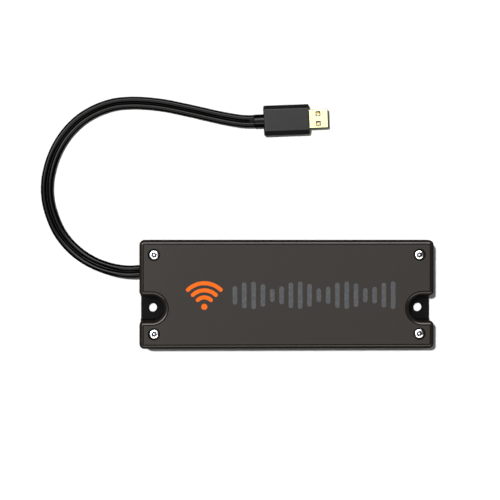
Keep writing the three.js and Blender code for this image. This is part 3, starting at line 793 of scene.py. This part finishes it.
def hole(x, y, radius, z0, z1, flare, both=False):
    """A round cutter that opens out at its top end, and at its lower end too if both is set."""
    wide = radius + flare
    levels = [(z1 - flare, radius), (z1, wide), (z1 + PAST, wide)]
    if both:
        levels = [(z0 - PAST, wide), (z0, wide), (z0 + flare, radius), *levels]
    else:
        levels = [(z0, radius), *levels]
    return stack([(z, circle(x, y, r)) for z, r in levels])


def counterbore(x, y):
    """A screw's recess in the cover, rounded where its wall meets its floor."""
    floor = HEIGHT - COUNTERBORE_DEPTH
    fillet = quarter_round(COUNTERBORE_FILLET, 6)
    levels = [(floor + along, COUNTERBORE_RADIUS - across) for along, across in fillet]
    wall_top = HEIGHT - COUNTERBORE_CHAMFER
    levels += [(wall_top, COUNTERBORE_RADIUS), (wall_top + PAST, COUNTERBORE_RADIUS + PAST)]
    return stack([(z, circle(x, y, radius, 64)) for z, radius in levels])


def screw_places(nodes):
    return [(node_middle(n).x, node_middle(n).y) for n in nodes]


def base_shell():
    """The tray: a drafted sole with the two lugs, and walls with a step for the cover's lip."""
    def plain(inset):
        x, y = HALF_LENGTH - inset, HALF_WIDTH - inset
        return rounded_rectangle(-x, x, -y, y, CORNER - inset, 8)

    edge = quarter_round(BASE_EDGE, 5)
    levels = [(along, BASE_DRAFT + across) for along, across in edge]
    levels.append((LUG_TOP, BASE_DRAFT * 0.75))
    sole = stack([(z, plain(inset)) for z, inset in levels])
    chamfer = 0.2
    walls = stack([
        (LUG_TOP - 0.5, case_outline(BASE_DRAFT * 0.78, -NOTCH_TAPER)),
        (PARTING - chamfer, case_outline(0.01)),
        (PARTING, case_outline(chamfer)),
    ])
    removed = [
        prism(case_outline(WALL), FLOOR, PARTING + PAST),
        prism(case_outline(LIP_INSET - GAP), PARTING - LIP_DEPTH - GAP, PARTING + PAST),
        lead_slot(),
    ]
    notch_half = NOTCH_RADIUS - NOTCH_TAPER
    lug_edge = HALF_LENGTH - 0.6
    for side in (-1, 1):
        x0, x1 = sorted((side * lug_edge, side * (HALF_LENGTH + PAST)))
        trim = rounded_rectangle(x0, x1, NOTCH_Y - notch_half, NOTCH_Y + notch_half, 0.3)
        removed.append(prism(trim, -PAST, LUG_TOP + PAST))
        lug_hole = hole(side * NOTCH_ARC_X, NOTCH_Y, LUG_HOLE_RADIUS, 0, LUG_TOP, 0.3, both=True)
        removed.append(lug_hole)
    return solid_of(carve("base", sole, [walls], removed))


def add_base():
    """The tray with its bosses, ribs, standoffs and the pedestal of the cord clamp."""
    fittings, holes = [], []
    foot = FLOOR - 1
    rib_top = PARTING - LIP_DEPTH - 2 * GAP
    for x, y in screw_places(INSERTS):
        x0, x1 = sorted((x, math.copysign(HALF_LENGTH - WALL / 2, x)))
        y0, y1 = sorted((y, math.copysign(HALF_WIDTH - WALL / 2, y)))
        fittings += [
            prism(circle(x, y, BOSS_RADIUS), foot, PARTING - GAP),
            prism(rounded_rectangle(x0, x1, y - RIB, y + RIB, 0.1, 1), foot, rib_top),
            prism(rounded_rectangle(x - RIB, x + RIB, y0, y1, 0.1, 1), foot, rib_top),
        ]
        holes.append(hole(x, y, INSERT_HOLE, FLOOR + 0.4, PARTING - GAP, 0.2))
    standoff_top = node_box("main_board")[0].z - 0.1
    for x, y in screw_places(BOARD_SCREWS):
        fittings.append(prism(circle(x, y, STANDOFF_RADIUS, 32), foot, standoff_top))
        holes.append(hole(x, y, PILOT_HOLE, FLOOR, standoff_top, 0.2))
    clamp_low, clamp_high = node_box("cord_clamp")
    pedestal_top = clamp_low.z - 0.1
    x0, x1 = clamp_low.x - 0.5, clamp_high.x + 0.5
    fittings.append(
        soft_block(x0, x1, clamp_low.y, clamp_high.y, foot, pedestal_top, 0.8, 0.3)
    )
    for x, y in screw_places(CLAMP_SCREWS):
        holes.append(hole(x, y, PILOT_HOLE, FLOOR, pedestal_top, 0.2))
    obj = carve("base", base_shell(), fittings, holes)
    return finish_piece(obj, BASE_PLASTIC, ["bottom_case"])


def cover_shell():
    """The lid: a rounded top edge with a groove inside it, a lip below, and the hollow."""
    skirt = PARTING + SEAM
    levels = [(skirt, 0.2), (skirt + 0.2, 0.0)]
    edge = quarter_round(COVER_EDGE, 10)[:-1]
    levels += [(HEIGHT - across, COVER_DRAFT + along) for along, across in edge]
    rim = levels[-1][1]
    for depth, share in ((GROOVE_DEPTH, 0.4), (GROOVE_DEPTH, 0.5), (0, 1)):
        levels.append((HEIGHT - depth, rim + GROOVE_WIDTH * share))
    outside = stack([(z, case_outline(inset)) for z, inset in levels])
    lip = stack([
        (PARTING - LIP_DEPTH, case_outline(LIP_INSET + 0.2)),
        (PARTING - LIP_DEPTH + 0.3, case_outline(LIP_INSET)),
        (skirt + 1, case_outline(LIP_INSET)),
    ])
    hollow = prism(case_outline(WALL), 0, HEIGHT - ROOF)
    return solid_of(carve("cover", outside, [lip], [hollow, lead_slot()]))


def add_cover():
    """The lid with its screw posts and counterbores, and the ribs under its roof."""
    added, removed = [], []
    roof = HEIGHT - ROOF + 0.8
    for x, y in screw_places(COVER_SCREWS):
        added.append(prism(circle(x, y, POST_RADIUS), PARTING + SEAM, roof))
        removed.append(counterbore(x, y))
        removed.append(hole(x, y, COVER_SCREW_HOLE, 0, HEIGHT - COUNTERBORE_DEPTH, 0.15))
    rib_bottom = HEIGHT - ROOF - 1.5
    reach = HALF_WIDTH - WALL / 2 - COVER_DRAFT
    ribs = [(-70, 70, y - RIB, y + RIB) for y in (-14, 14)]
    ribs += [(x - RIB, x + RIB, -reach, reach) for x in (-56, 0, 56)]
    added += [soft_block(*plan, rib_bottom, roof, 0.2, 0.1, 1) for plan in ribs]
    obj = carve("cover", cover_shell(), added, removed)
    return finish_piece(obj, COVER_PLASTIC, ["top_cover"], "cover")


# ---- Fasteners ----


def polar(steps, reach):
    """Points round a circle, each at the distance that reach(step, angle) gives."""
    angles = [2 * math.pi * i / steps for i in range(steps)]
    return [(reach(i, a) * math.cos(a), reach(i, a) * math.sin(a)) for i, a in enumerate(angles)]


def six_lobe(radius):
    lobe = 0.13  # how deep the hollows between the lobes are, as a share of the radius
    return polar(72, lambda i, angle: radius * (1 - lobe + lobe * math.cos(6 * angle)))


def threaded_rod(radius, pitch, z0, z1):
    """A rod with a real helical thread that fades out at its ends, and a blunt point."""
    sides, rows_per_turn, depth = 24, 8, 0.22
    rows = round((z1 - z0) / pitch * rows_per_turn)
    levels = []
    for k in range(rows + 1):
        z = z0 + (z1 - z0) * k / rows
        fade = min(1, (z - z0) / pitch, (z1 - z) / pitch)
        core = radius * 0.65 if k == 0 else radius

        def reach(i, angle):
            phase = (z / pitch - i / sides) % 1
            return core - abs(2 * phase - 1) * depth * fade

        levels.append((z, polar(sides, reach)))
    return stack(levels)


def screw_head(radius, height):
    """A low domed head with its underside at z = 0."""
    edge, dome = radius * 0.16, radius * 0.09
    profile = [(0, 0), (radius * 0.96, 0), (radius, 0.1)]
    for i in range(5):
        angle = math.radians(80) * i / 4
        profile.append((
            radius - edge * (1 - math.cos(angle)), height - dome - edge * (1 - math.sin(angle))
        ))
    rim = profile[-1]
    for i in range(1, 7):
        part = 1 - i / 7
        profile.append((rim[0] * part, height - (height - rim[1]) * part**2))
    return lathe([*profile, (0, height)], 64)


def screw_socket(radius, depth, top):
    """A cutter for a tapered six-lobe socket with a small flat floor."""
    return stack([
        (top - depth, six_lobe(radius * 0.4)), (top - 0.25, six_lobe(radius)),
        (top + 0.5, six_lobe(radius + 0.5)),
    ])


def add_screws(nodes, body_of, name, material, sizes):
    """One pan head screw per node, with a six-lobe socket and a real thread."""
    radius, height = sizes["head"], sizes["head_height"]
    upright = 0.9  # a face turned up by less than this is a wall of the socket
    off_the_facets = Matrix.Rotation(math.radians(1.3), 4, "Z")
    dish = moved(screw_socket(sizes["socket"], sizes["socket_depth"], height), off_the_facets)
    head = solid_of(carve("pattern", screw_head(radius, height), removed=[dish]))
    rod = threaded_rod(sizes["shank"], sizes["pitch"], -sizes["length"], 0.05)
    for number, node in enumerate(nodes, 1):
        low, high = node_box(node)
        middle = (low + high) / 2
        turn = Matrix.Rotation(math.radians(17 * number), 4, "Z")
        place = Matrix.Translation((middle.x, middle.y, high.z - height)) @ turn
        solid = moved(joined(head, rod), place)
        screw = piece(f"{name}_{number}", solid, material, [node], body_of(number))
        # The socket's walls get the near-black metal: painted shade inside the socket.
        screw.data.materials.append(SOCKET_WALL_PAINTED_SHADE)
        for face in screw.data.polygons:
            centre = face.center / MM
            away = (centre - middle).to_2d().length
            above = centre.z > high.z - height
            if away < sizes["socket"] and above and face.normal.z < upright:
                face.material_index = 1


def add_inserts():
    for number, node in enumerate(INSERTS, 1):
        low, high = node_box(node)
        middle = (low + high) / 2
        knurl = polar(96, lambda i, angle: INSERT_RADIUS - (KNURL_DEPTH if i // 2 % 2 else 0))
        smooth = circle(0, 0, INSERT_RADIUS - 0.25, 96)
        body = stack([
            (low.z, smooth), (low.z + 0.4, knurl), (low.z + 2.4, knurl), (low.z + 2.5, smooth),
            (low.z + 3.1, smooth), (low.z + 3.2, knurl), (high.z - 0.4, knurl), (high.z, smooth),
        ])
        bore = hole(0, 0, 1.68, low.z - PAST, high.z, 0.2)
        place = Matrix.Translation((middle.x, middle.y, 0))
        obj = carve(f"insert_{number}", moved(body, place), removed=[moved(bore, place)])
        finish_piece(obj, BRASS, [node])


# ---- Print on the cover ----

PRINT_THICKNESS = 0.04
SYMBOL = (-51.5, -7.6)
SYMBOL_DOT = 1.9
SYMBOL_BANDS = (4.6, 9.0, 13.4)  # inner radii
SYMBOL_BAND = 2.5
SYMBOL_SPREAD = (46, 134)  # degrees
WAVE_START, WAVE_Y, WAVE_PITCH, WAVE_STROKES = -32.5, -0.5, 5.8, 18
WAVE_STROKE = 2.9


def ring_sector(cx, cy, inner, outer, start, end):
    """A band with round ends, in plan."""
    half = (outer - inner) / 2
    middle = inner + half
    ends = []
    for angle in (end, start):
        a = math.radians(angle)
        ends.append((cx + middle * math.cos(a), cy + middle * math.sin(a)))
    return [
        *arc(cx, cy, outer, start, end, 32),
        *arc(*ends[0], half, end, end + 180, 8)[1:-1],
        *arc(cx, cy, inner, end, start, 32),
        *arc(*ends[1], half, start + 180, start + 360, 8)[1:-1],
    ]


def add_print():
    """A plain signal symbol and a plain row of upright strokes, like a sound wave."""
    z0, z1 = HEIGHT - 0.01, HEIGHT + PRINT_THICKNESS
    symbol = [prism(circle(*SYMBOL, SYMBOL_DOT), z0, z1)]
    for inner in SYMBOL_BANDS:
        band = ring_sector(*SYMBOL, inner, inner + SYMBOL_BAND, *SYMBOL_SPREAD)
        symbol.append(prism(band, z0, z1))
    piece("print_symbol", joined(*symbol), ORANGE_INK, body="cover")
    strokes = []
    for i in range(WAVE_STROKES):
        x = WAVE_START + i * WAVE_PITCH
        half = 3.2 + 5.4 * abs(math.sin(0.62 * i + 0.5))
        limits = around(x, WAVE_Y, WAVE_STROKE / 2, half)
        outline = rounded_rectangle(*limits, WAVE_STROKE / 2 - 0.01)
        strokes.append(prism(outline, z0, z1))
    piece("print_wave", joined(*strokes), GREY_INK, body="cover")


# ---- Inside the case ----


def paint_node(node, material, bevel):
    """A CAD node that keeps its shape gets softened edges and a finished material."""
    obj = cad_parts[node]
    weld = obj.modifiers.new("weld", "WELD")
    weld.merge_threshold = 1e-6
    modifier = obj.modifiers.new("edges", "BEVEL")
    modifier.width = bevel * MM
    modifier.segments = 2
    modifier.limit_method = "ANGLE"
    modifier.angle_limit = math.radians(40)
    obj.data.materials.clear()
    obj.data.materials.append(material)


def add_chip(name, node, sides, pitch, lead_width):
    """A moulded package with gull-wing leads on the sides named, and a pin-one dimple."""
    low, high = node_box(node)
    body = soft_block(
        low.x + 0.6, high.x - 0.6, low.y + 0.6, high.y - 0.6, low.z + 0.12, high.z, 0.15, 0.12, 2
    )
    dimple = prism(circle(low.x + 1.5, high.y - 1.5, 0.4, 20), high.z - 0.06, high.z + PAST)
    obj = carve(name, body, removed=[dimple])
    finish_piece(obj, RESIN, [node])
    leads = []
    middle = (low + high) / 2
    upright = Matrix(((1, 0, 0, 0), (0, 0, 1, 0), (0, 1, 0, low.z), (0, 0, 0, 1)))
    for side in sides:
        angle = {"right": 0, "up": 90, "left": 180, "down": 270}[side]
        along_x = side in ("left", "right")
        span = (high.y - low.y if along_x else high.x - low.x) - 1.8
        reach = (high.x - low.x if along_x else high.y - low.y) / 2
        count = int(span / pitch) + 1
        turn = Matrix.Rotation(math.radians(angle), 4, "Z")
        place = Matrix.Translation((middle.x, middle.y, 0)) @ turn @ upright
        profile = [
            (reach - 0.7, 0.62), (reach - 0.42, 0.62), (reach - 0.25, 0.12), (reach, 0.12),
            (reach, 0.0), (reach - 0.33, 0.0), (reach - 0.5, 0.5), (reach - 0.7, 0.5),
        ]
        for i in range(count):
            y = (i - (count - 1) / 2) * pitch
            leads.append(moved(prism(profile, y - lead_width / 2, y + lead_width / 2), place))
    piece(f"{name}_leads", joined(*leads), CAN)


def add_shield_can(name, node, holes_x, holes_y):
    low, high = node_box(node)
    wall = 0.35
    outside = soft_block(low.x, high.x, low.y, high.y, low.z, high.z, 1.0, 0.35)
    hollow = prism(
        rounded_rectangle(low.x + wall, high.x - wall, low.y + wall, high.y - wall, 0.6),
        low.z - PAST, high.z - wall,
    )
    vents = []
    for i in range(holes_x):
        for j in range(holes_y):
            x = low.x + (high.x - low.x) * (i + 1) / (holes_x + 1)
            y = low.y + (high.y - low.y) * (j + 1) / (holes_y + 1)
            vents.append(prism(circle(x, y, 0.55, 16), high.z - PAST, high.z + PAST))
    obj = carve(name, outside, removed=[hollow, joined(*vents)])
    finish_piece(obj, CAN, [node])


def add_spring_antenna():
    low, high = node_box("spring_antenna")
    wire, radius, turns, pitch = 0.5, 2.8, 6, 2.6
    start = Vector((low.x + wire, (low.y + high.y) / 2, high.z - radius - wire))
    path = [start + Vector((0, 0, -radius - 2 + 0.4 * i)) for i in range(5)]
    steps = turns * 28
    for i in range(steps + 1):
        angle = 2 * math.pi * turns * i / steps
        path.append(start + Vector((
            turns * pitch * i / steps, radius * math.sin(angle), -radius * math.cos(angle)
        )))
    solid = sweep(circle(0, 0, wire, 12), path, level=False)
    piece("spring_aerial", solid, BRONZE, ["spring_antenna"])


def add_wires():
    plug_low, plug_high = node_box("cable_plug")
    inner_end = LEAD_ROUTE[0][0]
    insulation = {
        "power_wire": ("wire_red", (0.42, 0.012, 0.012), -2.6, -3.75),
        "data_minus_wire": ("wire_white", (0.75, 0.75, 0.72), -1.2, -1.25),
        "data_plus_wire": ("wire_green", (0.02, 0.25, 0.05), 1.2, 1.25),
        "ground_wire": ("wire_black", (0.006, 0.006, 0.006), 2.6, 3.75),
    }
    for node, (slot, color, lead_y, plug_y) in insulation.items():
        y0, y1 = LEAD_EXIT.y + lead_y, LEAD_EXIT.y + plug_y
        z0, z1 = LEAD_EXIT.z, (plug_low.z + plug_high.z) / 2
        x1 = plug_low.x
        points = [
            (inner_end - 0.5, y0, z0), (inner_end + 2.5, y0, z0 + 0.3),
            ((inner_end + x1) / 2, (y0 + y1) / 2, z0 + 1.6),
            (x1 - 2.5, y1, z1 + 0.3), (x1 + 0.5, y1, z1),
        ]
        solid = sweep(circle(0, 0, 0.6, 16), smooth_path(points, 0.4))
        piece(f"{node}_insulation", solid, jacket(slot, color, 0.4), [node])


def add_capacitor():
    low, high = node_box("reservoir_capacitor")
    middle = (low + high) / 2
    radius = (high.x - low.x) / 2
    height = high.z - low.z
    profile = [
        (0, 0), (radius * 0.96, 0), (radius, 0.15), (radius, 0.9), (radius * 0.93, 1.15),
        (radius, 1.4), (radius, height - 0.3), (radius * 0.93, height), (radius * 0.78, height),
        (radius * 0.76, height - 0.12), (0, height - 0.12),
    ]
    place = Matrix.Translation((middle.x, middle.y, low.z))
    solid = moved(lathe(profile), place)
    piece("capacitor_can", solid, CAN, ["reservoir_capacitor"])


def add_passives():
    """Small resistors and capacitors on the main board, clear of the larger parts."""
    board_low, board_high = node_box("main_board")
    others = [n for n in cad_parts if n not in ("bottom_case", "top_cover", "main_board")]
    taken = [node_box(n) for n in others]
    rng = random.Random(7)
    margin = 1.2
    bodies, ends = [], []
    tries = 0
    while len(bodies) < 70 and tries < 2000:
        tries += 1
        x = round(rng.uniform(board_low.x + 6, board_high.x - 5) * 2) / 2
        y = round(rng.uniform(board_low.y + 4, board_high.y - 4) * 2) / 2
        lengthwise = rng.random() < 0.5
        half_x, half_y = (1.0, 0.6) if lengthwise else (0.6, 1.0)
        if any(
            low.x - half_x - margin < x < high.x + half_x + margin
            and low.y - half_y - margin < y < high.y + half_y + margin
            for low, high in taken
        ):
            continue
        taken.append((Vector((x - half_x, y - half_y, 0)), Vector((x + half_x, y + half_y, 0))))
        z = board_high.z
        body, end = ((0.6, 0.55), (0.22, 0.6)) if lengthwise else ((0.55, 0.6), (0.6, 0.22))
        bodies.append(soft_block(*around(x, y, *body), z, z + 0.6, 0.1, 0.08, 1))
        for shift in (-0.8, 0.8):
            place = (x + shift, y) if lengthwise else (x, y + shift)
            ends.append(soft_block(*around(*place, *end), z, z + 0.65, 0.1, 0.1, 1))
    ceramic = grained("ceramic", (0.16, 0.11, 0.07), 0.5, 2000, 0.000005)
    piece("small_parts", joined(*bodies), ceramic)
    piece("small_part_ends", joined(*ends), CAN)


def add_pads():
    """Plated rings round the board's screw holes, and rows of pads along the radio boards."""
    z = node_box("main_board")[1].z
    pads = []
    for x, y in screw_places(BOARD_SCREWS):
        pads.append(prism(circle(x, y, 3.0, 40), z - 0.01, z + 0.04))
    for node in RADIO_BOARDS:
        low, high = node_box(node)
        count = int((high.x - low.x - 4) / 2)
        for i in range(count):
            x = low.x + 2.5 + i * (high.x - low.x - 5) / (count - 1)
            for y in (low.y, high.y):
                pads.append(soft_block(*around(x, y, 0.5, 0.55), z, z + 0.5, 0.1, 0.1, 1))
    piece("board_pads", joined(*pads), GOLD)


def add_electronics():
    paint_node("main_board", BOARD_GREEN, 0.15)
    for node in RADIO_BOARDS:
        paint_node(node, BOARD_BLUE, 0.08)
    paint_node("cord_clamp", RESIN, 0.3)
    paint_node("cable_socket", NYLON, 0.2)
    paint_node("cable_plug", NYLON, 0.2)
    paint_node("power_inductor", FERRITE, 0.5)
    paint_node("crystal", CAN, 0.35)
    paint_node("stamped_antenna", BRONZE, 0.1)
    for number in range(1, 5):
        paint_node(f"usb_contact_{number}", GOLD, 0.08)
    all_round = ("right", "up", "left", "down")
    add_chip("hub_chip", "usb_hub_chip", all_round, 0.5, 0.25)
    add_chip("controller_chip", "microcontroller_chip", all_round, 0.65, 0.3)
    add_chip("regulator", "voltage_regulator", ("up", "down"), 2.0, 0.8)
    add_shield_can("long_range_can", "long_range_shield_can", 5, 4)
    add_shield_can("mesh_can", "mesh_shield_can", 4, 3)
    add_spring_antenna()
    add_wires()
    add_capacitor()
    add_passives()
    add_pads()


# ---- Everything ----

add_camera()
add_stage()
add_world()
add_lights()

lead, lead_path = add_lead()
relief = add_strain_relief()
overmold = add_overmold()
usb_shell = add_usb_shell()
tongue = add_usb_tongue()

add_base()
add_cover()
add_screws(
    COVER_SCREWS, lambda number: f"screw_{number}", "cover_fixing", SCREW_STEEL, M3
)
add_screws(BOARD_SCREWS, lambda number: "case", "board_fixing", ZINC, M25)
add_screws(CLAMP_SCREWS, lambda number: "case", "clamp_fixing", ZINC, M25)
add_inserts()
add_print()
add_electronics()
